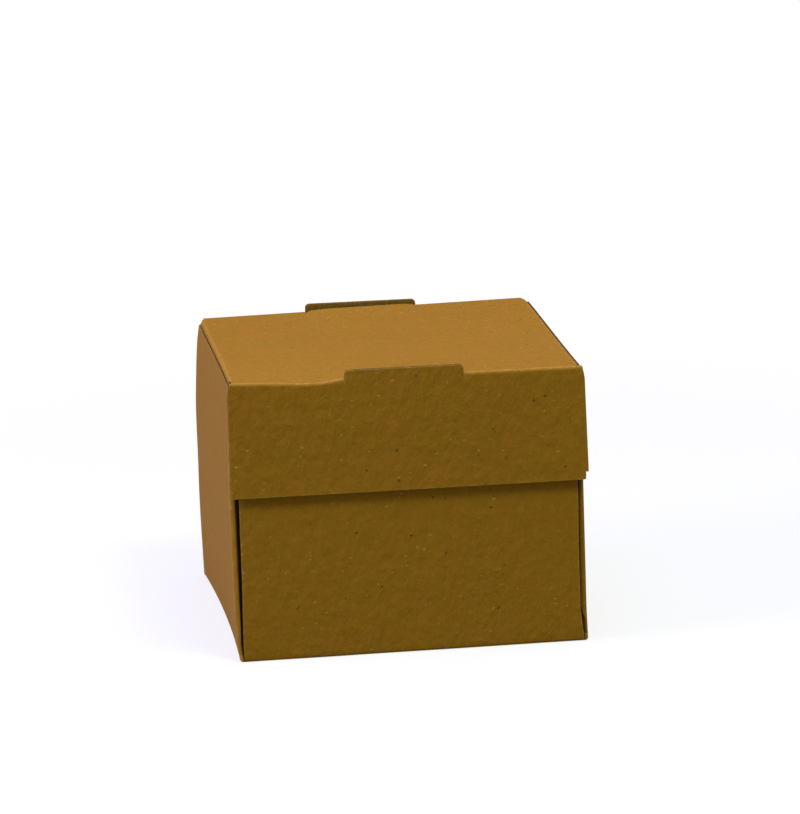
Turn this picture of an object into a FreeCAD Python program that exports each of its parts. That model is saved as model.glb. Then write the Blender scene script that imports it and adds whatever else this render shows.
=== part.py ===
import FreeCAD, Part
import math
import os

# Hamburger box: one die-cut sheet of fine-flute corrugated board, creased, folded and glued.
# The sheet is parted only at the two folds that open, so it gives three pieces:
#   tray        bottom, front wall, back wall with its tab, side walls and glued corner flaps
#   lid         top panel with its two tab-shaped vents and two tuck flaps
#   front_flap  the flap that hangs outside the front wall, with its tab
# Millimetres. X is the width, Y the depth with the front at -Y, Z is up.
# The origin is the middle of the bottom panel's underside.

# Driving dimensions of the box and its board
box_width = 110.0  # outside, over the side walls
box_depth = 110.0  # outside, from the front wall to the back wall
box_height = 88.2  # from the table to the lid's top face
board = 1.5  # thickness of the board

# Folds
fold_radius = 1.5  # outside of the folds between bottom, walls and corner flaps
crease_radius = 1.0  # outside of the lid's folds
fold_gap = 0.2  # gap along the mitre of a fold that opens

# Walls and corners of the tray
corner_web = 1.5  # closed height of each corner between its bottom fold and its slit
slit_foot = 0.2  # how far a wall's edge stays inside the side wall's inner face, at its foot
slit_head = 0.8  # the same at its head
wall_corner_radius = 3.0  # upper corners of the front wall
side_wall_drop = 0.5  # side wall's cut edge below the lid's top face
lid_seat_gap = 0.4  # front wall's cut edge below the lid's underside
corner_flap_length = 27.0  # along the front or back wall
corner_flap_drop = 3.0  # its head below the front wall's head
corner_flap_slant = 7.0  # taper of its upper and lower edge
corner_flap_radius = 4.0  # its free corners

# The left wall doesn't stand flat: it leans out towards its back edge, most at a third of its height
bow_foot = 1.4  # how far its back edge stands out, at its foot
bow_middle = 2.3  # the same where it stands out most
bow_head = 0.1  # the same at its cut edge
bow_middle_share = 0.34  # where it stands out most, as a share of the box's height

# Lid and its tuck flaps
lid_side_gap = 0.3  # between a tuck flap and the side wall
ear_gap = 0.3  # between the lid's front ears and the side walls' front folds
tuck_depth = 26.0  # below the lid's underside
tuck_slant = 4.0  # taper of the front and back edge
tuck_radius = 8.0  # lower corners
swing_clearance = 0.6  # from a tuck flap's corners to the front corner flaps as the lid opens

# Front flap
flap_length = 35.7  # from the lid's top face down to its cut edge
flap_head_inset = 0.25  # each side edge inside the side wall's outer face, at the lid's fold
flap_flare = 1.1  # how far each side edge leans out from the lid's fold to the cut edge
flap_gap = 0.2  # between the flap and the front wall
flap_corner_radius = 0.8  # its lower left corner
nick_width = 0.9  # step of the pressed-in lower right corner
nick_height = 2.7

# Tabs, which stand up at both folds of the lid, and the vents they are cut from
tab_width = 37.0
tab_height = 2.9  # above the lid's top face
tab_shift = -1.0  # middle of the tabs, from the middle of the box
tab_radius = 1.3
vent_gap = 0.3  # between a tab and the edge of its vent, with the sheet laid flat

# Places worked out from them
corner_rise = fold_radius + corner_web
corner_fold_radius = min(fold_radius, board) - slit_foot
half_width = box_width / 2
inside_half_width = half_width - board
back_face = box_depth / 2
front_face = -box_depth / 2
back_inner = back_face - board
front_inner = front_face + board
lid_top = box_height
lid_under = box_height - board
front_head = lid_under - lid_seat_gap
side_head = lid_top - side_wall_drop
bow_middle_height = box_height * bow_middle_share
straight = {corner_rise: 0.0, side_head: 0.0}  # how far a side wall's back edge stands out, by height
bowed = {corner_rise: bow_foot, bow_middle_height: bow_middle, side_head: bow_head}
flap_head_half = half_width - flap_head_inset
flap_foot_half = flap_head_half + flap_flare
flap_inner = front_face - flap_gap
flap_outer = flap_inner - board
flap_foot = lid_top - flap_length
vent_depth = math.hypot(board, tab_height) + vent_gap
overrun = 5.0  # how far a cutting outline reaches past the board that it trims
touching = 0.001  # points nearer than this are one point


def outline(corners, place):
    """A closed wire through corners (u, v, radius), rounded where the radius isn't zero."""
    points = [place(u, v) for u, v, radius in corners]
    turns = []
    for index, (u, v, radius) in enumerate(corners):
        here = points[index]
        before = (points[index - 1] - here).normalize()
        after = (points[(index + 1) % len(points)] - here).normalize()
        half_angle = before.getAngle(after) / 2
        reach = radius / math.tan(half_angle)
        bulge = radius / math.sin(half_angle) - radius
        middle = here + (before + after).normalize() * bulge
        turns.append((here + before * reach, middle, here + after * reach))
    edges = []
    for index, (start, middle, end) in enumerate(turns):
        if corners[index][2] > 0:
            edges.append(Part.Arc(start, middle, end).toShape())
        following = turns[(index + 1) % len(turns)][0]
        if end.distanceToPoint(following) > touching:
            edges.append(Part.makeLine(end, following))
    return Part.Wire(edges)


def plan_prism(corners, bottom, top):
    """An outline in X and Y, raised from one height to another."""
    wire = outline(corners, lambda x, y: FreeCAD.Vector(x, y, bottom))
    return Part.Face(wire).extrude(FreeCAD.Vector(0, 0, top - bottom))


def front_prism(corners, front, back):
    """An outline in X and Z, carried from one depth to another."""
    wire = outline(corners, lambda x, z: FreeCAD.Vector(x, front, z))
    return Part.Face(wire).extrude(FreeCAD.Vector(0, back - front, 0))


def side_prism(corners, left, right):
    """An outline in Y and Z, carried from one width to another."""
    wire = outline(corners, lambda y, z: FreeCAD.Vector(left, y, z))
    return Part.Face(wire).extrude(FreeCAD.Vector(right - left, 0, 0))


def mirrored(shape):
    """The mirror image of a shape, on the other side of the box."""
    return shape.mirror(FreeCAD.Vector(0, 0, 0), FreeCAD.Vector(1, 0, 0))


def join(shapes):
    """One solid from boards that meet face to face."""
    return shapes[0].fuse(shapes[1:]).removeSplitter().Solids[0]


def mitre_gap(fold_y, inward):
    """The thin gap along the mitre of a fold; inward is the way to the box's middle, 1 or -1."""
    rise = fold_gap / math.sqrt(2)
    outside = fold_y - inward * crease_radius
    inside = fold_y + inward * (board + crease_radius)
    corners = [
        (outside, lid_top + crease_radius + rise, 0),
        (outside, lid_top + crease_radius - rise, 0),
        (inside, lid_under - crease_radius - rise, 0),
        (inside, lid_under - crease_radius + rise, 0),
    ]
    return side_prism(corners, -box_width, box_width)


def wrap_strips():
    """The strip that runs up the back wall, over the lid and down the front flap, parted at its folds."""
    section = [
        (back_face, corner_rise, 0),
        (back_face, lid_top, crease_radius),
        (flap_outer, lid_top, crease_radius),
        (flap_outer, flap_foot, 0),
        (flap_inner, flap_foot, 0),
        (flap_inner, lid_under, 0),
        (back_inner, lid_under, 0),
        (back_inner, corner_rise, 0),
    ]
    sheet = side_prism(section, -box_width, box_width)
    parted = sheet.cut([mitre_gap(back_face, -1), mitre_gap(flap_outer, 1)])
    return sorted(parted.Solids, key=lambda solid: solid.CenterOfMass.y)


def tab(front, back):
    """A tab that stands up past the lid, with its root in the board below the fold."""
    left = tab_shift - tab_width / 2
    right = tab_shift + tab_width / 2
    root = lid_under - board
    corners = [
        (left, root, 0),
        (right, root, 0),
        (right, lid_top + tab_height, tab_radius),
        (left, lid_top + tab_height, tab_radius),
    ]
    return front_prism(corners, front, back)


def vent(fold_y, inward):
    """The opening that a tab leaves in the lid, from the fold inwards."""
    left = tab_shift - tab_width / 2 - vent_gap
    right = tab_shift + tab_width / 2 + vent_gap
    corners = [
        (left, fold_y - inward * overrun, 0),
        (right, fold_y - inward * overrun, 0),
        (right, fold_y + inward * vent_depth, tab_radius),
        (left, fold_y + inward * vent_depth, tab_radius),
    ]
    return plan_prism(corners, lid_under - overrun, lid_top + overrun)


def wall_side(height, head):
    """Half the width of the front or back wall at a height: it narrows a little from foot to head."""
    share = (height - corner_rise) / (head - corner_rise)
    return inside_half_width - slit_foot - (slit_head - slit_foot) * share


def front_wall_outline():
    """Front wall seen from the front."""
    foot_half = wall_side(corner_rise, front_head)
    head_half = wall_side(front_head, front_head)
    return [
        (-foot_half, corner_rise, 0),
        (foot_half, corner_rise, 0),
        (head_half, front_head, wall_corner_radius),
        (-head_half, front_head, wall_corner_radius),
    ]


def back_wall_trim():
    """Back wall seen from the front: its left edge follows the bowed wall beside it."""
    heights = [corner_rise, bow_middle_height, lid_top]
    left = [
        FreeCAD.Vector(-wall_side(height, lid_top) - bow, back_inner - overrun, height)
        for height, bow in zip(heights, bowed.values())
    ]
    right = [
        FreeCAD.Vector(wall_side(height, lid_top), back_inner - overrun, height)
        for height in (corner_rise, lid_top)
    ]
    edges = [
        Part.Arc(*left).toShape(),
        Part.makeLine(left[2], right[1]),
        Part.makeLine(right[1], right[0]),
        Part.makeLine(right[0], left[0]),
    ]
    return Part.Face(Part.Wire(edges)).extrude(FreeCAD.Vector(0, board + 2 * overrun, 0))


def left_face(y, bow):
    """Where the left wall's outer face is at a depth, when its back edge stands out by the bow."""
    return -half_width - bow * (y - front_inner) / (back_inner - front_inner)


def base():
    """Bottom panel with its four rounded folds and the closed foot of the walls."""
    plan = [
        (left_face(front_face, bow_foot), front_face, 0),
        (half_width, front_face, 0),
        (half_width, back_face, 0),
        (left_face(back_face, bow_foot), back_face, 0),
    ]
    block = plan_prism(plan, 0, corner_rise)
    uprights_and_bottom = [edge for edge in block.Edges if edge.CenterOfMass.z < corner_rise - touching]
    block = block.makeFillet(fold_radius, uprights_and_bottom)
    inside = [
        (-inside_half_width, front_inner, 0),
        (inside_half_width, front_inner, 0),
        (inside_half_width, back_inner, 0),
        (-inside_half_width - bow_foot, back_inner, 0),
        (-inside_half_width - bow_foot, back_inner - board, 0),
        (-inside_half_width, front_inner + board, 0),
    ]
    return block.cut(plan_prism(inside, board, corner_rise))


def side_section(height, bow):
    """Plan of the left wall and its two corner flaps at a height, with rounded folds between them."""
    end = -inside_half_width + corner_flap_length + overrun
    corners = [
        (left_face(front_inner, bow), front_inner, corner_fold_radius),
        (end, front_inner, 0),
        (end, front_inner + board, 0),
        (-inside_half_width, front_inner + board, 0),
        (-inside_half_width - bow, back_inner - board, 0),
        (end, back_inner - board, 0),
        (end, back_inner, 0),
        (left_face(back_inner, bow), back_inner, corner_fold_radius),
    ]
    return outline(corners, lambda x, y: FreeCAD.Vector(x, y, height))


def round_a_corner_flap(low_y, high_y, root_foot):
    """What is cut away round a left corner flap, seen from the front: its two edges slant."""
    root = -inside_half_width
    end = root + corner_flap_length
    head = front_head - corner_flap_drop
    kept = [
        (-box_width, 0, 0),
        (root_foot, 0, 0),
        (root_foot, corner_rise, 0),
        (end, corner_rise + corner_flap_slant, corner_flap_radius),
        (end, head - corner_flap_slant, corner_flap_radius),
        (root, head, 0),
        (root, box_height, 0),
        (-box_width, box_height, 0),
    ]
    around = [(-box_width, 0, 0), (0, 0, 0), (0, box_height, 0), (-box_width, box_height, 0)]
    return front_prism(around, low_y, high_y).cut(front_prism(kept, low_y, high_y))


def side_boards(bows):
    """Left wall and its corner flaps, which are glued behind the front and back walls."""
    sections = [side_section(height, bow) for height, bow in bows.items()]
    boards = Part.makeLoft(sections, True, len(sections) == 2)
    front_waste = round_a_corner_flap(front_inner, front_inner + board, -inside_half_width)
    back_waste = round_a_corner_flap(back_inner - board, back_inner, -inside_half_width - bows[corner_rise])
    return boards.cut([front_waste, back_waste])


def make_tray(back_strip):
    """Bottom, walls, corner flaps and back tab."""
    back_wall = back_strip.common(back_wall_trim())
    front_wall = front_prism(front_wall_outline(), front_face, front_inner)
    sides = [side_boards(bowed), mirrored(side_boards(straight))]
    return join([base(), front_wall, back_wall, tab(back_inner, back_face)] + sides)


def tuck_flap():
    """Left tuck flap; its front edge keeps clear of the front corner flaps as the lid swings."""
    reach = back_face - (front_inner + board) - swing_clearance
    foot = lid_under - tuck_depth
    front_root = back_face - math.sqrt(reach**2 - board**2)
    front_foot = back_face - math.sqrt(reach**2 - (board + tuck_depth) ** 2)
    back_root = back_inner - board - swing_clearance
    corners = [
        (front_root, lid_under, 0),
        (front_foot + tuck_slant, foot, tuck_radius),
        (back_root - tuck_slant, foot, tuck_radius),
        (back_root, lid_under, 0),
    ]
    outer = -inside_half_width + lid_side_gap
    return side_prism(corners, outer, outer + board)


def make_lid(lid_strip):
    """Top panel with its front ears, vents and tuck flaps."""
    edge = inside_half_width - lid_side_gap
    ear = flap_head_half
    ear_back = front_inner - ear_gap
    under = lid_under - overrun
    rounded_section = [
        (-edge, under, 0),
        (edge, under, 0),
        (edge, lid_top, crease_radius),
        (-edge, lid_top, crease_radius),
    ]
    ear_section = [(-ear, under, 0), (ear, under, 0), (ear, lid_top, 0), (-ear, lid_top, 0)]
    panel = lid_strip.common(front_prism(rounded_section, ear_back, back_face + overrun))
    ears = lid_strip.common(front_prism(ear_section, flap_outer - overrun, ear_back))
    lid = join([panel, ears, tuck_flap(), mirrored(tuck_flap())])
    return lid.cut([vent(back_face, -1), vent(flap_outer, 1)]).Solids[0]


def make_front_flap(flap_strip):
    """Front flap, a little wider at its cut edge, with its tab and its pressed-in corner."""
    head = flap_head_half
    foot = flap_foot_half
    front_view = [
        (-head, lid_top + overrun, 0),
        (-head, lid_top, 0),
        (-foot, flap_foot, flap_corner_radius),
        (foot - nick_width, flap_foot, flap_corner_radius),
        (foot - nick_width, flap_foot + nick_height, 0),
        (foot, flap_foot + nick_height, 0),
        (head, lid_top, 0),
        (head, lid_top + overrun, 0),
    ]
    panel = flap_strip.common(front_prism(front_view, flap_outer - overrun, flap_inner + overrun))
    return join([panel, tab(flap_outer, flap_inner)])


flap_strip, lid_strip, back_strip = wrap_strips()
pieces = {
    "tray": make_tray(back_strip),
    "lid": make_lid(lid_strip),
    "front_flap": make_front_flap(flap_strip),
}

os.makedirs("parts", exist_ok=True)
for name, piece in pieces.items():
    piece.exportStep(f"parts/{name}.step")
    box = piece.BoundBox
    print(name, piece.isValid(), piece.ShapeType, round(piece.Volume, 1), round(piece.Area, 1), box)
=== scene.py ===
"""A small hamburger box, folded from one die-cut sheet of brown corrugated board.

The tray, the lid and the front flap are parts of the same sheet. Each is drawn flat, creased and folded up
here as the real blank is, and then given the thickness of the board.
"""

import math

import bpy
from mathutils import Matrix, Vector, noise


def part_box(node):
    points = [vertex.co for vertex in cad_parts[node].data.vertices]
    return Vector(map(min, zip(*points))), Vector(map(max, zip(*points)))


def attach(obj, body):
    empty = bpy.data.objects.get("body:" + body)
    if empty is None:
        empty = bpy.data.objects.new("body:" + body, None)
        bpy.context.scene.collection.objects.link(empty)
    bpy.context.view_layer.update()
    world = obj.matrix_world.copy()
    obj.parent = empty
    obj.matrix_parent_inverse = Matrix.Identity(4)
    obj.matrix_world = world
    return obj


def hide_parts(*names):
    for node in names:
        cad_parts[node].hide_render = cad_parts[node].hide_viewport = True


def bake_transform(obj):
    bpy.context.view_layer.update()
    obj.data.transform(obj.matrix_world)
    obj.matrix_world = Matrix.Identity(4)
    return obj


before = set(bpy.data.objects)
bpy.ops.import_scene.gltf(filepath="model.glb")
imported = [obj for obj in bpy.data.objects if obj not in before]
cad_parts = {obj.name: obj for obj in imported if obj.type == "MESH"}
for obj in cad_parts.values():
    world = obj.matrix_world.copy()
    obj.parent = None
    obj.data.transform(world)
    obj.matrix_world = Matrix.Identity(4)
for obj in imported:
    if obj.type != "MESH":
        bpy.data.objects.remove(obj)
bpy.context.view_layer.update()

# ---- The camera: a long lens from the front, a little to the left of the box and above it ----
# It stands far off, so that the box's edges run nearly parallel, looks a little down and is slightly rolled.
mm = 0.001
tray_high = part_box("tray")[1]
half_width, half_depth = tray_high.x, tray_high.y     # the right and back walls stand straight, at these

turn, rise, roll = math.radians(-7.21), math.radians(12.76), math.radians(-1.69)
eye_back, eye_right, eye_up = 1333.1 * mm, 2.56 * mm, 64.95 * mm
backwards = Vector((math.sin(turn) * math.cos(rise), -math.cos(turn) * math.cos(rise), math.sin(rise)))
level = Vector((math.cos(turn), math.sin(turn), 0))
upright = backwards.cross(level)
rightwards = level * math.cos(roll) + upright * math.sin(roll)
upwards = upright * math.cos(roll) - level * math.sin(roll)
eye = backwards * eye_back + rightwards * eye_right + upwards * eye_up

bpy.ops.object.camera_add()
camera = bpy.context.object
camera.data.lens = 180.44
camera.data.sensor_width = 36
camera.data.clip_end = 20
camera.matrix_world = Matrix.Translation(eye) @ Matrix((rightwards, upwards, backwards)).transposed().to_4x4()
bpy.context.scene.camera = camera
bpy.context.scene.view_settings.view_transform = "Standard"

# ---- The floor: a plain pale sheet that the box stands on ----
# It glows by itself, so that it shows white, and takes just enough of the lamps' light near the box to hold
# its soft shadow. The box itself sees a dim floor, which throws little light up at it.
shadow_share = 0.28          # how much of the floor's white comes from the lamps, near the box
shadow_near, shadow_far = 0.2, 0.6                    # between these distances from the middle it fades away
glow_level = 1.04            # lamps and glow together, a little over white
bounce_colour = (0.22, 0.23, 0.08, 1)


def node(tree, kind, inputs=(), **settings):
    """Adds a node, sets it, and joins or fills its inputs."""
    made = tree.nodes.new("ShaderNode" + kind)
    for name, value in settings.items():
        setattr(made, name, value)
    for key, value in dict(inputs).items():
        if isinstance(value, bpy.types.NodeSocket):
            tree.links.new(value, made.inputs[key])
        else:
            made.inputs[key].default_value = value
    return made


def maths(tree, operation, a, b=0.0, c=0.0):
    return node(tree, "Math", {0: a, 1: b, 2: c}, operation=operation).outputs[0]


bpy.ops.mesh.primitive_plane_add(size=8, location=(0, 0, 0))
floor = bpy.context.object
floor.name = "floor"

pale = bpy.data.materials.new("pale_floor")
pale.use_nodes = True
tree = pale.node_tree
tree.nodes.clear()
path = node(tree, "LightPath").outputs
centre_out = node(tree, "TexCoord").outputs["Object"]
away = node(tree, "VectorMath", {0: centre_out}, operation="LENGTH").outputs["Value"]
share = node(tree, "MapRange", {"Value": away, "From Min": shadow_near, "From Max": shadow_far,
                                "To Min": shadow_share, "To Max": 0.0},
             interpolation_type="SMOOTHSTEP").outputs[0]
shaded = node(tree, "BsdfDiffuse", {"Color": share}).outputs[0]
glow = node(tree, "Emission", {"Strength": maths(tree, "SUBTRACT", glow_level, share)}).outputs[0]
together = node(tree, "AddShader", {0: shaded, 1: glow}).outputs[0]
bounce = node(tree, "BsdfDiffuse", {"Color": bounce_colour}).outputs[0]
seen = maths(tree, "MAXIMUM", path["Is Camera Ray"], path["Is Glossy Ray"])
surface = node(tree, "MixShader", {0: seen, 1: bounce, 2: together}).outputs[0]
node(tree, "OutputMaterial", {"Surface": surface})
floor.data.materials.append(pale)

# ---- The light: three soft boxes, high in front, broad above and on the left, and a weak even fill ----
# The camera sees the world plain white behind the floor, and everything else gets the fill from it.
fill_colour, fill_strength = (1, 1.1, 0.8, 1), 0.12

world = bpy.data.worlds.new("studio")
world.use_nodes = True
bpy.context.scene.world = world
tree = world.node_tree
tree.nodes.clear()
path = node(tree, "LightPath").outputs
fill = node(tree, "Background", {"Color": fill_colour, "Strength": fill_strength}).outputs[0]
white = node(tree, "Background", {"Color": (1, 1, 1, 1)}).outputs[0]
seen = maths(tree, "MAXIMUM", path["Is Camera Ray"], path["Is Transmission Ray"])
surface = node(tree, "MixShader", {0: seen, 1: fill, 2: white}).outputs[0]
node(tree, "OutputWorld", {"Surface": surface})


def soft_box(name, place, size, power, colour):
    """A square lamp at a place, facing the middle of the box."""
    bpy.ops.object.light_add(type="AREA", location=place)
    lamp = bpy.context.object
    lamp.name = name
    lamp.data.shape = "SQUARE"
    lamp.data.size = size
    lamp.data.energy = power
    lamp.data.color = colour
    lamp.rotation_euler = (Vector((0, 0, 0.05)) - Vector(place)).to_track_quat("-Z", "Y").to_euler()


soft_box("key", (0.30, -0.52, 1.15), 0.3, 5.0, (0.86, 1.08, 0.05))
soft_box("above", (0.05, -0.10, 1.20), 1.3, 6.0, (1.20, 1.06, 2.5))
soft_box("left", (-0.95, -0.18, 0.62), 0.5, 5.6, (0.96, 0.88, 1.2))

# ---- The tray: bottom, four walls, the corner flaps behind the walls and the tab on the back wall ----
# Brown board, two smooth liners on a fluted middle, die-cut, creased and folded up from one sheet. Its flutes
# run from side to side in the blank, so they lie level in the front and back walls and stand upright in the
# side walls.
board = 1.5 * mm
bend = 1.0 * mm              # outer radius of every fold
bend_steps = 6
bend_strip = 2 * bend * math.sin(math.radians(90) / bend_steps / 2)
bend_width = bend_strip * bend_steps
close = 0.01 * mm
scored = 0.45                # how thin the board is crushed along a fold, as a share
cell = 4 * mm                # how finely the panels are divided
border = 0.35 * mm           # of worn paper, with a painted highlight, along the cut edges
wear_and_highlight_reach = 1.1 * mm          # how far the wear and the painted highlight reach on each side of a fold

top_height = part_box("lid")[1].z
margin = 2.6 * mm            # flat board on each side of a lid fold, in the crease's own piece
wall_head = top_height - bend - margin         # where the back wall's sheet ends and the crease begins
cut_end = bend + 0.2 * mm    # how far below the lid's top each tab is cut free
tab_left, tab_right = -19.5 * mm, 17.5 * mm
tab_top = tray_high.z
tab_corner = 1.3 * mm        # the radius of the tabs' corners


def hold(piece):
    bpy.ops.object.select_all(action="DESELECT")
    piece.select_set(True)
    bpy.context.view_layer.objects.active = piece


def pick(piece, kind, wanted):
    """Opens a piece with vertices, edges or faces selected, by their middle or by a list of yes or no."""
    hold(piece)
    mesh = piece.data
    for group in (mesh.vertices, mesh.edges, mesh.polygons):
        group.foreach_set("select", [False] * len(group))
    group = {"VERT": mesh.vertices, "EDGE": mesh.edges, "FACE": mesh.polygons}[kind]
    if callable(wanted):
        places = [v.co for v in mesh.vertices]
        middle = {"VERT": lambda v: v.co, "FACE": lambda p: p.center,
                  "EDGE": lambda e: (places[e.vertices[0]] + places[e.vertices[1]]) / 2}[kind]
        wanted = [wanted(middle(part)) for part in group]
    group.foreach_set("select", wanted)
    bpy.context.tool_settings.mesh_select_mode = (kind == "VERT", kind == "EDGE", kind == "FACE")
    bpy.ops.object.mode_set(mode="EDIT")


def close_up():
    bpy.ops.object.mode_set(mode="OBJECT")


def flat_panel(name, low, high, height, upside_down=False):
    """A flat rectangle of the sheet, its outer face up or down."""
    bpy.ops.object.select_all(action="DESELECT")
    middle = ((low[0] + high[0]) / 2, (low[1] + high[1]) / 2, height)
    bpy.ops.mesh.primitive_plane_add(size=1, location=middle)
    piece = bpy.context.object
    piece.name = piece.data.name = name
    piece.scale = (high[0] - low[0], high[1] - low[1], 1)
    bpy.ops.object.transform_apply(location=True, rotation=True, scale=True)
    if upside_down:
        pick(piece, "FACE", lambda c: True)
        bpy.ops.mesh.flip_normals()
        close_up()
    return piece


def draw_on(piece, wanted, step, taper=(1, 1, 1)):
    """Draws the sheet on from the edges that are wanted, and makes the new edges wider or narrower."""
    pick(piece, "EDGE", wanted)
    bpy.ops.mesh.extrude_edges_move(TRANSFORM_OT_translate={"value": step})
    if taper != (1, 1, 1):
        bpy.ops.transform.resize(value=taper, center_override=(0, 0, 0))
    close_up()


def rounded(piece, wanted, radius, segments=5):
    """Rounds the sheet's corners."""
    pick(piece, "VERT", wanted)
    bpy.ops.mesh.bevel(offset=radius, segments=segments, affect="VERTICES", clamp_overlap=True)
    close_up()


def cut(piece, axis, places, wanted=None):
    """Divides the sheet along straight lines across an axis."""
    normal = tuple(1.0 if i == axis else 0.0 for i in range(3))
    for place in places:
        pick(piece, "FACE", wanted or (lambda c: True))
        bpy.ops.mesh.bisect(plane_co=tuple(place * n for n in normal), plane_no=normal)
        close_up()


def spaced(low, high, step):
    """Even places between two ends, about a step apart."""
    count = max(1, round((high - low) / step))
    return [low + (high - low) * i / count for i in range(1, count)]


def crease_lines(start, sign=1):
    """The lines across a fold, and one on each side where its wear ends."""
    lines = [start + bend_strip * i for i in range(bend_steps + 1)]
    return [sign * line for line in lines + [start - wear_and_highlight_reach, start + bend_width + wear_and_highlight_reach]]


def ease(low, high, x):
    """Goes smoothly from 0 to 1 between two values of x."""
    t = min(max((x - low) / (high - low), 0), 1)
    return t * t * (3 - 2 * t)


def bordered(piece):
    """Sets off a narrow border along the sheet's cut edges, where the paper wears and is painted with a
    highlight.
    """
    pick(piece, "FACE", lambda c: True)
    bpy.ops.mesh.inset(thickness=border, use_boundary=True, use_even_offset=True)
    close_up()


def mark(piece, folds, seam=lambda c: False, painted_shade_at=lambda c: 0.0):
    """Notes each point's place across the flutes, how worn the paper and how thick the board is there, and
    how much painted shade it takes deep in a slit. Paper wears along folds and cut edges, and is painted
    lighter there as a highlight, but not at a seam, where one sheet runs on into the next."""
    mesh = piece.data
    users = {}
    for p in mesh.polygons:
        for key in p.edge_keys:
            users[key] = users.get(key, 0) + 1
    rim = {v for key, count in users.items() if count == 1 for v in key}
    worn_and_highlit, thick = [], []
    for v in mesh.vertices:
        worn_and_highlit.append(0.85 if v.index in rim and not seam(v.co) else 0.0)
        thick.append(1.0)
        for axis, start, sign, wear_and_painted_light, wanted in folds:
            along = (v.co[axis] * sign - start) / bend_width
            if wanted(v.co) and -0.01 < along < 1.01:
                worn_and_highlit[-1] = max(worn_and_highlit[-1], wear_and_painted_light * math.exp(-((along - 0.1) / 0.4) ** 2))
                thick[-1] = scored
    for name, values in (("across", [v.co.y for v in mesh.vertices]), ("wear_and_painted_light", worn_and_highlit),
                         ("painted_shade", [painted_shade_at(v.co) for v in mesh.vertices])):
        mesh.attributes.new(name, "FLOAT", "POINT").data.foreach_set("value", values)
    group = piece.vertex_groups.new(name="thickness")
    for index, share in enumerate(thick):
        group.add([index], share, "REPLACE")


def fold(piece, flat, axis, start, sign, height, way, wanted=lambda f: True):
    """Folds the sheet by a quarter turn along a line, up (way 1) or down (way -1), a little at each line of
    its crease."""
    turning = "Y" if axis == 0 else "X"
    hand = sign * way if axis == 0 else -sign * way
    pen, heading = Vector((sign * start, height)), 0.0
    for i in range(bend_steps + 1):
        half = 0.5 if i in (0, bend_steps) else 1.0
        step = math.radians(90) / bend_steps * half
        pick(piece, "VERT", [sign * f[axis] > start + bend_strip * i - close and wanted(f) for f in flat])
        centre = [0.0, 0.0, pen.y]
        centre[axis] = pen.x
        bpy.ops.transform.rotate(value=step * hand, orient_axis=turning, orient_type="GLOBAL",
                                 center_override=centre)
        close_up()
        heading += step
        pen += Vector((sign * math.cos(heading), way * math.sin(heading))) * bend_strip


def as_drawn(piece):
    """The flat blank's points, by which each fold finds its panel."""
    return [v.co.copy() for v in piece.data.vertices]


# Sizes of the tray's blank.
foot = half_width - bend                    # where the bottom panel ends and the fold begins
wall_start = foot + bend_width
side_top = top_height - 0.5 * mm            # the side walls' cut edge
front_top = top_height - 2.5 * mm           # the front wall's
side_reach = wall_start + side_top - bend   # the side walls' cut edge in the blank
end_reach = wall_start + wall_head - bend
flap_plane = half_depth - 2.6 * mm          # the corner flaps stand behind the front and back walls
side_fold = flap_plane - bend
flap_start = side_fold + bend_width
flap_low, flap_high = wall_start + 1.3 * mm, side_reach - 1.4 * mm
flap_length, corner_taper = 24 * mm, 0.83
foot_half, head_half = 53.7 * mm, 53.3 * mm  # half the front and back walls' width, at their foot and head

tray = flat_panel("tray_sheet", (-foot, -foot), (foot, foot), 0, upside_down=True)
cut(tray, 1, [-side_fold, side_fold])
for side in (1, -1):
    draw_on(tray, lambda c: abs(c.y) < side_fold and c.x * side > foot - close, (side * bend_width, 0, 0))
    draw_on(tray, lambda c: c.x * side > wall_start - close, (side * (side_top - bend), 0, 0))
for end in (1, -1):
    draw_on(tray, lambda c: c.y * end > foot - close and abs(c.x) < foot, (0, end * bend_width, 0),
            (foot_half / foot, 1, 1))
    draw_on(tray, lambda c: c.y * end > wall_start - close and abs(c.x) < foot,
            (0, end * (end_reach - wall_start), 0), (head_half / foot_half, 1, 1))

# The front wall goes on to its own cut edge, and the back wall's tab is drawn on between two cuts.
draw_on(tray, lambda c: c.y < -end_reach + close and abs(c.x) < foot, (0, wall_head - front_top, 0))
cut(tray, 0, [tab_left, tab_right], lambda c: c.y > wall_start and abs(c.x) < foot)
draw_on(tray, lambda c: c.y > end_reach - close and tab_left < c.x < tab_right, (0, tab_top - wall_head, 0))
rounded(tray, lambda c: c.y > end_reach + 5 * mm, tab_corner)


def between_tabs(c):
    return tab_left - close < c.x < tab_right + close


def upright_side(c):
    return abs(c.x) > foot - close and abs(c.y) < side_fold + close


def upright_end(c):
    return abs(c.y) > foot - close and abs(c.x) < foot + 3 * mm


def in_side(c):
    return abs(c.x) > wall_start


def in_end(c):
    return abs(c.x) < foot + 1 * mm


def corner_part(c):
    return in_side(c) and abs(c.y) > side_fold - 2 * mm


# The corner flaps are drawn on from the side walls, with slanted ends and round corners.
cut(tray, 0, [-flap_high, -flap_low, flap_low, flap_high], lambda c: in_side(c) and abs(c.y) < side_fold)
for side in (1, -1):
    for end in (1, -1):
        middle = side * (flap_low + flap_high) / 2

        def flap_edge(c, reach):
            return flap_low < c.x * side < flap_high and c.y * end > reach - close

        draw_on(tray, lambda c: flap_edge(c, side_fold), (0, end * bend_width, 0))
        draw_on(tray, lambda c: flap_edge(c, flap_start), (0, end * flap_length, 0))
        pick(tray, "VERT", lambda c: in_side(c) and c.y * end > side_fold + flap_length and c.x * side > 0)
        bpy.ops.transform.resize(value=(corner_taper, 1, 1), center_override=(middle, 0, 0))
        close_up()
rounded(tray, lambda c: in_side(c) and abs(c.y) > side_fold + flap_length, 4 * mm)
rounded(tray, lambda c: abs(c.x) > side_reach - close and abs(c.y) > side_fold - close, 1.2 * mm, 3)
bordered(tray)

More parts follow.
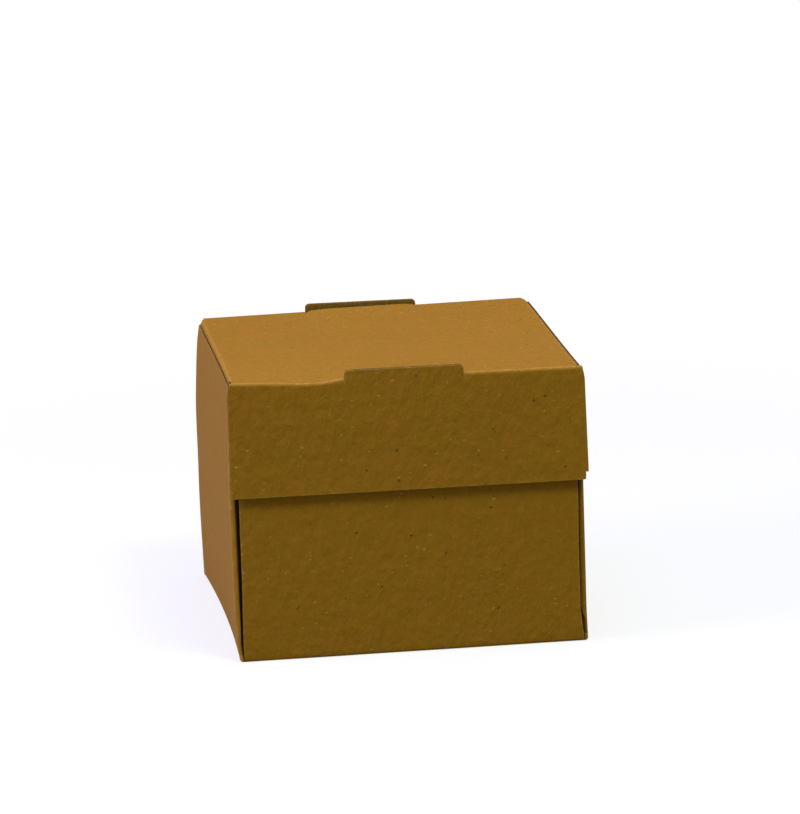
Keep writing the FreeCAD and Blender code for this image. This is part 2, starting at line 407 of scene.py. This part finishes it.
for sign in (1, -1):
    cut(tray, 0, crease_lines(foot, sign), lambda c: abs(c.y) < side_fold)
    cut(tray, 1, crease_lines(foot, sign), in_end)
    cut(tray, 1, crease_lines(side_fold, sign), in_side)
cut(tray, 0, spaced(-foot, foot, cell))
cut(tray, 1, spaced(-side_fold, side_fold, cell))
for sign in (1, -1):
    cut(tray, 0, [sign * p for p in spaced(wall_start + 2 * mm, side_reach - 2 * mm, cell)], in_side)
    cut(tray, 1, [sign * p for p in spaced(flap_start, flap_start + flap_length, cell)], in_side)
    cut(tray, 1, [sign * p for p in spaced(wall_start + 1 * mm, end_reach, cell)], in_end)
tab_foot = wall_start + top_height - cut_end - bend      # where the back tab's cuts end in the blank
cut(tray, 1, [tab_foot], between_tabs)


def painted_slit_shade(c):
    """How much painted shade a point of a side wall takes, deep in the slit behind the front and back walls'
    edges.
    """
    starts = side_fold + (0.85 if c.x < 0 else 0.78) * bend_width
    past = (abs(c.y) - starts) / mm
    return ease(-0.15, 0.15, past) * (1 - ease(4, 9, past)) if in_side(c) else 0.0


creases = ((0, foot, 0.6, upright_side), (1, foot, 0.6, upright_end), (1, side_fold, 0.5, corner_part))
mark(tray, [(axis, start, sign, wear_and_painted_light, wanted) for axis, start, wear_and_painted_light, wanted in creases for sign in (1, -1)],
     lambda c: end_reach - close < c.y < tab_foot and abs(c.x) < foot, painted_slit_shade)
flat = as_drawn(tray)
for end in (1, -1):
    fold(tray, flat, 1, side_fold, end, 0, 1, in_side)
for side in (1, -1):
    fold(tray, flat, 0, foot, side, 0, 1, lambda f: abs(f.y) < side_fold + close or in_side(f))
for end in (1, -1):
    fold(tray, flat, 1, foot, end, 0, 1, lambda f: abs(f.x) < foot + 3 * mm)

# At the foot of each corner the slit ends in a small web, where the side wall's fold turns the corner.
for side in (1, -1):
    for end in (1, -1):
        pick(tray, "EDGE", lambda c: (abs(c.y - end * side_fold) < close and c.x * side > foot
                                      and c.z < bend + 1.3 * mm))
        bpy.ops.mesh.spin(steps=bend_steps, angle=math.radians(-90) * side * end, axis=(0, 0, 1),
                          center=(side * foot, end * side_fold, 0))
        close_up()
pick(tray, "FACE", lambda c: True)
bpy.ops.mesh.remove_doubles(threshold=close)
close_up()

# The board's three papers: the smooth outer liner, the duller inner one, and the torn fibres of a cut edge,
# kept darker than the liners as painted shade of its open flutes.
flute_pitch = 3.2 * mm
liner = 0.25 * mm
flute_paper = 0.16 * mm
groove = 0.9 * mm            # how deep a cut edge opens between its liners
arris = 0.1 * mm             # how far the liners' corners are broken along a cut edge
relief, ribbing = 0.62 * mm, 0.02 * mm         # how high the pulp's mottle and the flutes stand in a liner


def shared_group(name, colours, amounts):
    """A node group that reads a place, colours and amounts, and puts out a colour and a height."""
    group = bpy.data.node_groups.new(name, "ShaderNodeTree")
    kinds = {"Place": "Vector", **dict.fromkeys(colours, "Color"), **dict.fromkeys(amounts, "Float")}
    for key, kind in kinds.items():
        made = group.interface.new_socket(name=key, in_out="INPUT", socket_type="NodeSocket" + kind)
        if key in amounts:
            made.default_value = amounts[key]
    group.interface.new_socket(name="Colour", in_out="OUTPUT", socket_type="NodeSocketColor")
    group.interface.new_socket(name="Height", in_out="OUTPUT", socket_type="NodeSocketFloat")
    return group, group.nodes.new("NodeGroupInput").outputs, group.nodes.new("NodeGroupOutput").inputs


def clamped(group, value, low=0.0):
    """The value held between low and 1."""
    return maths(group, "MINIMUM", maths(group, "MAXIMUM", value, low), 1.0)


def scaled(group, colour, factor):
    return node(group, "VectorMath", {0: colour, "Scale": factor}, operation="SCALE").outputs[0]


def tinted(group, colour, factor, tint):
    """A colour mixed with a tint by the factor's share."""
    return node(group, "Mix", {0: factor, 6: colour, 7: tint}, data_type="RGBA").outputs[2]


def fibre_group():
    """Brown paper: cloudy pulp, fine grain, a mottled face, and short pale fibres with a few dark specks."""
    group, given, made = shared_group("pulp_and_fibres", ("Paper", "Fibre"),
                                      {"Cloud": 0.06, "Grain": 0.05, "Specks": 1.0})
    place = given["Place"]

    def centred(scale, stretch=None, **more):
        """Noise about nought, drawn out along an axis whose stretch is under 1."""
        drawn = node(group, "Mapping", {"Vector": place, "Scale": stretch}).outputs[0] if stretch else place
        texture = node(group, "TexNoise", {"Vector": drawn, "Scale": scale, **more})
        return maths(group, "SUBTRACT", texture.outputs[0], 0.5)

    cloud = centred(60, Detail=4, Roughness=0.55)
    mottle = centred(320, (1, 1, 0.6), Detail=4, Roughness=0.6)
    grain = centred(1100, Detail=3, Roughness=0.6)
    fibre = centred(1500, (0.32, 1, 1), Detail=2, Distortion=1.2)
    light = maths(group, "MULTIPLY", cloud, given["Cloud"])
    light = maths(group, "MULTIPLY_ADD", mottle, 0.08, light)
    light = maths(group, "MULTIPLY_ADD", maths(group, "ADD", grain, fibre), given["Grain"], light)
    light = maths(group, "MULTIPLY_ADD", light, 2.0, 1.0)

    # The hue drifts between olive and red brown.
    paper = scaled(group, given["Paper"], light)
    redder = node(group, "VectorMath", {0: paper, 1: (1.045, 0.975, 1.3)}, operation="MULTIPLY").outputs[0]
    greener = node(group, "VectorMath", {0: paper, 1: (0.965, 1.02, 0.7)}, operation="MULTIPLY").outputs[0]
    drift = maths(group, "MULTIPLY_ADD", centred(110, Detail=3, Roughness=0.6), 2.0, 0.5)
    colour = tinted(group, greener, clamped(group, drift), redder)

    def flecks(scale, stretch, angle, small, large, power, edge):
        """A fleck in each cell of a loose grid, most of them small, bent a little out of true."""
        turned = node(group, "Mapping", {"Vector": place, "Rotation": (0, angle, 0)}).outputs[0]
        wander = node(group, "TexNoise", {"Vector": turned, "Scale": 800, "Detail": 1}).outputs["Color"]
        wander = scaled(group, wander, 0.9 * mm)
        bent = node(group, "VectorMath", {0: turned, 1: wander}, operation="ADD").outputs[0]
        long = node(group, "Mapping", {"Vector": bent, "Scale": (stretch, 1, 1)}).outputs[0]
        cells = node(group, "TexVoronoi", {"Vector": long, "Scale": scale}, feature="F1")
        chance = node(group, "SeparateColor", {"Color": cells.outputs["Color"]}).outputs["Red"]
        reach = maths(group, "MULTIPLY_ADD", maths(group, "POWER", chance, power), large - small, small)
        spot = maths(group, "MULTIPLY", maths(group, "SUBTRACT", reach, cells.outputs["Distance"]), 1 / edge)
        return maths(group, "MULTIPLY", clamped(group, spot), given["Specks"])

    dark = scaled(group, given["Paper"], 0.3)
    for size, share, tint in ((flecks(150, 1, 0, 0.0, 0.32, 4, 0.2), 0.14, dark),
                              (flecks(680, 0.35, 0.05, 0.04, 0.18, 1.8, 0.06), 0.5, given["Fibre"]),
                              (flecks(560, 0.45, 1.1, 0.03, 0.15, 2.2, 0.06), 0.5, given["Fibre"]),
                              (flecks(380, 0.7, 0.4, 0.0, 0.18, 3.0, 0.05), 0.8, dark)):
        colour = tinted(group, colour, maths(group, "MULTIPLY", size, share), tint)
    height = maths(group, "MULTIPLY_ADD", maths(group, "ADD", grain, fibre), 0.06, mottle)
    group.links.new(colour, made["Colour"])
    group.links.new(height, made["Height"])
    return group


def wear_and_painted_light_group():
    """Paper worn pale along the folds and edges, partly real wear and partly a painted highlight, broken up
    by noise, with the faint ribbing of the flutes under the liner, which also shifts the colour as painted
    shading, and the painted shade that darkens the slits."""
    group, given, made = shared_group("fold_wear_painted_light_and_flutes", ("Colour", "Worn and highlit"),
                                      {"Wear and highlight": 0.5, "Ribbing": 0.5, "Painted Shade": 0.0})
    near, across, deep = (node(group, "Attribute", attribute_name=name).outputs["Fac"]
                          for name in ("wear_and_painted_light", "across", "painted_shade"))
    patchy = node(group, "TexNoise", {"Vector": given["Place"], "Scale": 420, "Detail": 4, "Roughness": 0.65})
    patchy = maths(group, "MULTIPLY", maths(group, "SUBTRACT", patchy.outputs[0], 0.36), 3.6)
    patchy = clamped(group, patchy, 0.35)
    worn_and_highlit = maths(group, "MULTIPLY", maths(group, "MULTIPLY", near, patchy), given["Wear and highlight"])
    colour = tinted(group, given["Colour"], worn_and_highlit, given["Worn and highlit"])
    # The ribbing shifts the colour a little, a painted shading of the ribs besides their bump; the slits'
    # painted shade is taken off it too.
    rib = maths(group, "SINE", maths(group, "MULTIPLY", across, 2 * math.pi / flute_pitch))
    rib = maths(group, "MULTIPLY", rib, given["Ribbing"])
    dark = maths(group, "MULTIPLY", deep, given["Painted Shade"])
    tone = maths(group, "SUBTRACT", maths(group, "MULTIPLY_ADD", rib, 0.02, 1.0), dark)
    group.links.new(scaled(group, colour, tone), made["Colour"])
    group.links.new(rib, made["Height"])
    return group


pulp, wear_and_painted_light = fibre_group(), wear_and_painted_light_group()


def paper(name, colour, fibre, worn_and_highlit, grain=0.04, wear_and_highlight_amount=0.9, roughness=0.75, painted_shade=0.0):
    """A matt brown paper."""
    material = bpy.data.materials.new(name)
    material.use_nodes = True
    tree = material.node_tree
    tree.nodes.clear()
    place = node(tree, "TexCoord").outputs["Object"]
    fibres = node(tree, "Group", node_tree=pulp)
    folds = node(tree, "Group", node_tree=wear_and_painted_light)
    for made, values in ((fibres, {"Paper": (*colour, 1), "Fibre": (*fibre, 1), "Cloud": 0.05, "Grain": grain,
                                   "Specks": 1.0}),
                         (folds, {"Worn and highlit": (*worn_and_highlit, 1), "Wear and highlight": wear_and_highlight_amount, "Ribbing": 0.25, "Painted Shade": painted_shade})):
        tree.links.new(place, made.inputs["Place"])
        for key, value in values.items():
            made.inputs[key].default_value = value
    tree.links.new(fibres.outputs["Colour"], folds.inputs["Colour"])
    grain_bump = node(tree, "Bump", {"Height": fibres.outputs["Height"], "Strength": 1.0, "Distance": relief})
    rib_bump = node(tree, "Bump", {"Height": folds.outputs["Height"], "Strength": 0.6, "Distance": ribbing,
                                   "Normal": grain_bump.outputs[0]})
    shader = node(tree, "BsdfPrincipled", {"Base Color": folds.outputs["Colour"], "Roughness": roughness,
                                           "Specular IOR Level": 0.25, "Normal": rib_bump.outputs[0]})
    node(tree, "OutputMaterial", {"Surface": shader.outputs[0]})
    return material


# The outer liner alone darkens by painted shade in the slits. Each paper's last colour is its worn tone,
# partly a painted highlight.
outer_liner = paper("kraft_outer_liner", (0.415, 0.190, 0.011), (0.78, 0.52, 0.15), (0.78, 0.50, 0.13),
                    painted_shade=0.8)
inner_liner = paper("kraft_inner_liner", (0.24, 0.130, 0.016), (0.50, 0.32, 0.12), (0.40, 0.22, 0.07),
                    wear_and_highlight_amount=0.2)
# The cut edge's darker colour is painted shade of the hollow flutes; its pale fibres are its own.
cut_paper = paper("cut_edge_paper", (0.26, 0.13, 0.025), (0.60, 0.42, 0.18), (0.50, 0.30, 0.10),
                  grain=0.14, roughness=0.9)
papers = (outer_liner, inner_liner, cut_paper)
cut_index = papers.index(cut_paper)


def thicken(piece, seam=lambda c: False):
    """Gives a folded sheet the board's thickness, inwards, and opens its cut edges between the two liners. A
    seam, where one sheet runs on into the next, stays closed."""
    mesh = piece.data
    for material in papers:
        mesh.materials.append(material)
    hold(piece)
    layer = piece.modifiers.new("board", "SOLIDIFY")
    layer.thickness, layer.offset, layer.use_even_offset = board, -1, True
    layer.vertex_group = "thickness"
    layer.material_offset, layer.material_offset_rim = papers.index(inner_liner), cut_index
    bpy.ops.object.modifier_apply(modifier="board")
    pick(piece, "FACE", [p.material_index == cut_index and not seam(p.center) for p in mesh.polygons])
    bpy.ops.mesh.inset(thickness=liner, use_boundary=True, use_even_offset=True)
    bpy.ops.mesh.extrude_region_shrink_fatten(TRANSFORM_OT_shrink_fatten={"value": -groove})
    close_up()
    faces = {}
    for p in mesh.polygons:
        for key in p.edge_keys:
            faces.setdefault(key, []).append(p)

    def is_arris(edge):
        beside = faces.get(edge.key, ())
        cut_faces = [p for p in beside if p.material_index == cut_index]
        return len(beside) == 2 and len(cut_faces) == 1 and not seam(cut_faces[0].center)

    pick(piece, "EDGE", [is_arris(edge) for edge in mesh.edges])
    bpy.ops.mesh.bevel(offset=arris, segments=1, material=cut_index, clamp_overlap=True)
    close_up()


def flutes(start, end, facing, inward):
    """The wavy middle of the board where a cut runs across it: a thin ribbon between the two liners. Start
    and end are on the outer liner's edge, facing is the way that it faces, and inward leads into the cut."""
    start, end, facing, inward = (Vector(v) for v in (start, end, facing, inward))
    waves = (end - start).length / flute_pitch
    bpy.ops.object.select_all(action="DESELECT")
    bpy.ops.mesh.primitive_grid_add(x_subdivisions=max(2, round(waves * 8)), y_subdivisions=1, size=1,
                                    location=(0, 0, 0))
    ribbon = bpy.context.object
    height = board / 2 - liner - flute_paper / 2
    for v in ribbon.data.vertices:
        along, deep = v.co.x + 0.5, v.co.y + 0.5
        wave = math.sin(2 * math.pi * waves * along)
        v.co = (start + (end - start) * along + inward * (0.05 * mm + groove * deep)
                + facing * (height * wave - board / 2))
    for material in papers:
        ribbon.data.materials.append(material)
    layer = ribbon.modifiers.new("paper", "SOLIDIFY")
    layer.thickness, layer.offset = flute_paper, 0
    bpy.ops.object.modifier_apply(modifier="paper")
    for p in ribbon.data.polygons:
        p.material_index = cut_index
    return ribbon


def gather(piece, parts):
    """Joins small parts into a piece."""
    hold(piece)
    for part in parts:
        part.select_set(True)
    bpy.ops.object.join()


def three_way(z, foot_value, middle_value, head_value):
    """A smooth curve up a wall, through values at its foot, at a third of its height and at its head."""
    third, head = 30, 86
    return (foot_value * (z - third) * (z - head) / (third * head)
            - middle_value * z * (z - head) / (third * (head - third))
            + head_value * z * (z - third) / (head * (head - third)))


def settled(c):
    """Where a point of the newly folded box has moved to in use, worked out in millimetres: the walls bow
    and lean, the top is a little out of level, and the lid sags and dips at its front edge, on the left."""
    x, y, z = (v / mm for v in c)
    t = min(max((y + 52) / 104, 0), 1)         # from the front to the back
    up = min(z, 88)
    left = three_way(up, -0.1 - 3.1 * t + 5.1 * t * t, 0.5 + 2.15 * t, 0.2 + 0.15 * t)
    left += 0.6 * t * t * ease(38, 64, up) * (1 - 0.7 * ease(80, 87, up))
    right = three_way(up, 0.3 - 0.1 * t, 0.15 + 0.35 * t + 1.2 * t * (1 - t), -0.3 + 0.3 * t)
    dx = -left * ease(2, 55, -x) + right * ease(2, 55, x)
    dy = 0.6 * math.sin(math.pi * up / 88) * (1 - (x / 60) ** 2) * ease(30, 53, y)
    tilt = (0.6 - 0.3 * x / 55 + (-0.1 + 0.94 * x / 55) * ease(-40, 55, y)) * ease(30, 86, z)
    dip_width = 15 if x < -28 else 6.5
    dip = math.exp(-((x + 28) / dip_width) ** 2) * math.exp(-(max(0, y + 55) / 13) ** 2)
    dip = -1.1 * dip * ease(74, 87, z) * ease(-40, -52, y)
    sag = -0.35 * max(0, 1 - (x / 54) ** 2) * max(0, 1 - (y / 54) ** 2) * ease(86, 86.6, z)
    rough = noise.noise(Vector((x, y, z)) * 0.045) * 0.12
    return Vector((x + dx, y + dy + rough, z + tilt + dip + sag)) * mm


def reshape(piece, move):
    for v in piece.data.vertices:
        v.co = move(v.co)


def finish_piece(piece):
    hold(piece)
    bpy.ops.object.shade_smooth_by_angle(angle=math.radians(38))


thicken(tray, lambda c: c.y > 40 * mm and wall_head - close < c.z < top_height - cut_end and abs(c.x) < foot
        and (abs(c.z - wall_head) < close or between_tabs(c)))
# The flutes show along the side walls' heads and up the front and back walls' ends.
rim_half, low_half = 47 * mm, 53.65 * mm
ribbons = []
for side in (1, -1):
    ribbons.append(flutes((side * half_width, -rim_half, side_top), (side * half_width, rim_half, side_top),
                          (side, 0, 0), (0, 0, -1)))
    for end, head in ((1, wall_head), (-1, front_top)):
        ribbons.append(flutes((side * low_half, end * half_depth, 3 * mm),
                              (side * head_half, end * half_depth, head - 1 * mm),
                              (0, end, 0), (-side, 0, 0)))
gather(tray, ribbons)


# How far the outside of a corner fold is from a round one, in millimetres at each line of its crease:
# outwards, and to the front or back. Its foot fills the corner, and above it the fold stands out at the slit.
foot_turn = ((0, 0), (0.07, 0.9), (0.17, 1.8), (0.24, 2.3), (0.1, 2.5), (0, 2.6), (0, 2.6))
upright_turn = ((0, 0), (0.03, 0.69), (0.08, 1.0), (0.01, 1.39), (-0.35, 1.63), (-0.7, 1.68), (-0.75, -0.1))


def along_rows(rows, t):
    """The row at t, between two of the given ones."""
    i = min(int(t), len(rows) - 2)
    return Vector(rows[i]).lerp(Vector(rows[i + 1]), t - i)


def under_lid(y):
    """1 where the lid's side folds lie over the side walls, and 0 at the corners."""
    return 1 - ease(49, 53, abs(y) / mm)


def crushed(c):
    """The lid's folds crush the side walls' heads thin and low, the corner folds bulge, the front left one
    stands out most, and the back tab's top slants."""
    side, end = math.copysign(1, c.x), math.copysign(1, c.y)
    z = c.z / mm
    deep = half_width - abs(c.x)
    thinner, out, down = (0.6, 0.5, 0.25) if side > 0 else (0.77, 0.0, 0.95)
    if deep < board + close and abs(c.y) < half_depth - board:
        c.x = side * (half_width - deep * (1 - thinner * ease(82, 86.5, z)))
        c.x += out * mm * ease(80, 86.5, z) * under_lid(c.y)
        c.z -= down * mm * ease(82, 87.7, z) * under_lid(c.y)
    u, w = abs(c.x) - foot, abs(c.y) - side_fold
    if side < 0 and end < 0 and u > -1 * mm and w < bend + close:
        c.x -= 0.62 * mm * ease(20, 52, -c.y / mm) * ease(0, 8, z) * (1 - ease(58, 84, z))
    if w > 0 and u > -4 * mm and w < bend + close:
        t = math.degrees(math.atan2(w, max(u, 0.0))) / 90 * bend_steps
        low, high = along_rows(foot_turn, t), along_rows(upright_turn, t) * (1 - 0.5 * ease(83, 87, z))
        if side > 0:
            high.x += 0.36 * ease(3, 5, t)
        shift = low.lerp(high, ease(1.5, 12, z)) * ease(-3, 0, u / mm) * mm
        c.x += side * shift.x
        c.y += end * shift.y
    if c.z > wall_head and c.y > 0 and between_tabs(c):
        c.z -= (0.66 + 0.31 * c.x / tab_right) * mm * ease(wall_head / mm, tab_top / mm, z)
    return c


def narrowed(c):
    """The front wall's edges stand back a little from the corners, above its foot."""
    x, z = c.x / mm, c.z / mm
    if c.y < -flap_plane - 0.2 * mm and abs(c.x) < foot:
        left = 0.6 * ease(40, 53, -x) * ease(2, 30, z)
        right = 0.95 * ease(40, 53, x) * ease(1, 10, z) * (1 - 0.4 * ease(28, 50, z))
        c.x += (left - right) * mm
    return c


reshape(tray, crushed)
reshape(tray, narrowed)
reshape(tray, settled)
finish_piece(tray)
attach(tray, "tray")
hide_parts("tray")

# ---- The lid: the top panel, with its two side flaps and the notches that the tabs' cuts leave ----
# The same board, on from the back wall. It turns on the back fold, which stays whole on both sides of the
# tab, and is held shut by its side flaps, which are folded down and tucked inside the side walls.
lid_half = 54.35 * mm
lid_foot = lid_half - bend
front_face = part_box("front_flap")[0].y
front_start = -front_face - bend               # where the lid's top ends and the front fold begins
back_start = half_depth - bend
lid_front, lid_back = -(front_start - margin), back_start - margin
tuck_front, tuck_back, tuck_gap = -49.5 * mm, lid_back - 1.8 * mm, 0.6 * mm
tuck_depth, tuck_taper = 26 * mm, 0.92
tuck_start = lid_foot + bend_width
notch_front, notch_back = front_face + 3.9 * mm, half_depth - 3.2 * mm

lid = flat_panel("lid_sheet", (-lid_foot, lid_front), (lid_foot, lid_back), top_height)
cut(lid, 0, [tab_left, tab_right])
draw_on(lid, lambda c: c.y < lid_front + close and between_tabs(c), (0, notch_front - lid_front, 0))
draw_on(lid, lambda c: c.y > lid_back - close and between_tabs(c), (0, notch_back - lid_back, 0))
tuck_cuts = [tuck_front - tuck_gap, tuck_front, tuck_back, tuck_back + tuck_gap]
cut(lid, 1, tuck_cuts, lambda c: abs(c.x) > tab_right)
for side in (1, -1):
    def at_side(c):
        return c.x * side > lid_foot - close

    draw_on(lid, lambda c: at_side(c) and c.y < tuck_front - tuck_gap, (side * (bend - 0.35 * mm), 0, 0))
    draw_on(lid, lambda c: at_side(c) and c.y > tuck_back + tuck_gap, (side * (bend - 0.45 * mm), 0, 0))
    draw_on(lid, lambda c: at_side(c) and tuck_front < c.y < tuck_back and abs(c.x) < lid_foot + close,
            (side * bend_width, 0, 0))
    draw_on(lid, lambda c: c.x * side > tuck_start - close, (side * (tuck_depth - bend), 0, 0))
    pick(lid, "VERT", lambda c: c.x * side > tuck_start + 1 * mm)
    bpy.ops.transform.resize(value=(1, tuck_taper, 1), center_override=(0, (tuck_front + tuck_back) / 2, 0))
    close_up()
rounded(lid, lambda c: abs(c.x) > tuck_start + 1 * mm, 8 * mm, 7)
bordered(lid)
for sign in (1, -1):
    cut(lid, 0, crease_lines(lid_foot, sign))
    cut(lid, 0, [sign * p for p in spaced(tuck_start + 2 * mm, tuck_start + tuck_depth, cell)])
cut(lid, 0, spaced(-lid_foot, lid_foot, cell))
cut(lid, 0, [tab_left + 0.8 * mm, tab_left + 2 * mm, tab_right - 2 * mm, tab_right - 0.8 * mm])
cut(lid, 1, spaced(lid_front, lid_back, cell))


def tuck_part(c):
    return tuck_front - close < c.y < tuck_back + close and abs(c.x) > lid_foot - close


def lid_seam(c):
    return (abs(c.y - lid_front) < close or abs(c.y - lid_back) < close) and not between_tabs(c)


mark(lid, [(0, lid_foot, 1, 0.3, tuck_part), (0, lid_foot, -1, 0.3, tuck_part)], lid_seam)
flat = as_drawn(lid)
for side in (1, -1):
    fold(lid, flat, 0, lid_foot, side, top_height, -1, tuck_part)
thicken(lid, lid_seam)


def tucked(c):
    """The side flaps lean in below their folds, to pass inside the walls, the folds reach out over the walls'
    heads, and the back notch's edge bows up."""
    side = math.copysign(1, c.x)
    if abs(c.x) > lid_foot - board and c.z < top_height - close:
        c.x -= side * 1.0 * mm * (1 - ease(82.0, 86.5, c.z / mm))
    over = ease(86.4, 87.4, c.z / mm) * under_lid(c.y)
    c.x += side * 0.45 * mm * over * ease(50, 53.3, abs(c.x) / mm)
    across = (c.x - (tab_left + tab_right) / 2) / ((tab_right - tab_left) / 2)
    if abs(across) < 1:
        c.z += 1.05 * mm * (1 - across ** 8) ** 0.5 * ease(34, 51.8, c.y / mm) ** 1.5
    return c


reshape(lid, tucked)
reshape(lid, settled)
finish_piece(lid)
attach(lid, "lid")
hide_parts("lid")

# ---- The front flap: the sheet's last panel, folded down over the front wall ----
# The same board, on from the lid's front. Its tab, cut free of the lid, stays standing above the fold, and a
# small nick is taken out of its lower right corner.
flap_top, flap_low_edge = bend + margin, 35.6 * mm   # below the lid's top
flap_half, flap_low_half = 55.4 * mm, 55.8 * mm      # half the flap's width, at its fold and its lower edge
nick_line, nick_in = front_face - 33.1 * mm, 54.9 * mm

flap = flat_panel("flap_sheet", (-flap_half, front_face - flap_low_edge),
                  (flap_half, front_face - flap_top), top_height)
pick(flap, "EDGE", lambda c: c.y < front_face - flap_low_edge + close)
bpy.ops.transform.resize(value=(flap_low_half / flap_half, 1, 1), center_override=(0, 0, 0))
close_up()
cut(flap, 1, [nick_line])
cut(flap, 0, [tab_left, tab_right, nick_in])
pick(flap, "FACE", lambda c: c.x > nick_in and c.y < nick_line)
bpy.ops.mesh.delete(type="FACE")
close_up()
draw_on(flap, lambda c: c.y > front_face - flap_top - close and between_tabs(c),
        (0, flap_top + tab_top - top_height, 0))
rounded(flap, lambda c: c.y > front_face, tab_corner)
rounded(flap, lambda c: c.y < nick_line - close and abs(c.x) > 50 * mm, 0.6 * mm, 3)
bordered(flap)
cut(flap, 0, spaced(-flap_half, flap_half, cell))
cut(flap, 1, spaced(front_face - flap_low_edge, front_face - flap_top, cell) + [front_face - cut_end])
mark(flap, [], lambda c: front_face - flap_top - close < c.y < front_face - cut_end + close)
pick(flap, "VERT", lambda c: True)
bpy.ops.transform.rotate(value=math.radians(-90), orient_axis="X", orient_type="GLOBAL",
                         center_override=(0, front_face, top_height))
close_up()
thicken(flap, lambda c: top_height - flap_top - close < c.z < top_height - cut_end)
gather(flap, [flutes((side * flap_half, front_face, top_height - 5 * mm),
                     (side * 55.7 * mm, front_face, top_height - 32 * mm), (0, -1, 0), (-side, 0, 0))
              for side in (1, -1)])


def hung(c):
    """The flap hangs a little to the right, and its fold stands a little proud."""
    down = max(0, top_height - c.z) / flap_low_edge
    wider = 0.3 * (1 - down) * ease(0, 0.08, down) * ease(30, 55, abs(c.x) / mm)
    c.x += (0.4 * down + math.copysign(wider, c.x)) * mm
    return c


reshape(flap, hung)
reshape(flap, settled)
finish_piece(flap)
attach(flap, "front_flap")
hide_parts("front_flap")

# ---- The creases: the board that bends behind the lid and between the lid and the flap ----
# Two to each fold, left and right of its tab, of the same board, crushed thin along the line so that it folds
# there.
def crisp(c):
    """The front fold is sharper than a round one."""
    c.z += 0.5 * mm * ease(-53, -56, c.y / mm) * ease(0.96, 1.0, c.z / top_height)
    return c


def crease(name, inner_x, outer_x, end, start, spread):
    """One side of a crease, left or right of its tab, flat on the lid's side and folded down on the other.
    Its outer end moves out by the spread on its way down."""
    flat_end, fold_end = start - margin, start + bend_width
    low_x, high_x = min(inner_x, outer_x), max(inner_x, outer_x)
    low_y, high_y = min(end * start, end * flat_end), max(end * start, end * flat_end)
    piece = flat_panel(name, (low_x, low_y), (high_x, high_y), top_height)
    draw_on(piece, lambda c: c.y * end > start - close, (0, end * bend_width, 0))
    draw_on(piece, lambda c: c.y * end > fold_end - close, (0, end * margin, 0))
    for reach, share in ((start - close, 0.8), (fold_end + close, 0.2)):
        pick(piece, "VERT", lambda c: c.y * end > reach and abs(c.x - outer_x) < 3 * mm)
        bpy.ops.transform.translate(value=(math.copysign(share, outer_x) * spread, 0, 0))
        close_up()
    bordered(piece)
    cut(piece, 1, crease_lines(start, end))
    cut(piece, 0, spaced(low_x, high_x, 2 * mm))
    mark(piece, [(1, start, end, 0.4, lambda c: True)],
         lambda c: (abs(c.y * end - flat_end) < close or c.y * end > fold_end + margin - close
                    or (c.y * end > fold_end and abs(c.x - inner_x) < close)))
    fold(piece, as_drawn(piece), 1, start, end, top_height, -1)
    thicken(piece, lambda c: (abs(c.y * end - flat_end) < close or abs(c.z - wall_head) < 0.05 * mm
                              or (c.z < top_height - cut_end and abs(c.x - inner_x) < close)))
    if end < 0:
        reshape(piece, hung)
        reshape(piece, crisp)
    reshape(piece, settled)
    finish_piece(piece)
    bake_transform(piece)


for side, inner_x in ((-1, tab_left), (1, tab_right)):
    word = "left" if side < 0 else "right"
    for place, end, start, outer_x, bodies, spread in (
            ("front", -1, front_start, 54.0 * mm, ("lid", "front_flap"), 1.4 * mm),
            ("back", 1, back_start, 53.9 * mm, ("tray", "lid"), -0.6 * mm)):
        crease(f"{place}_crease_{word}", inner_x, side * outer_x, end, start, spread)
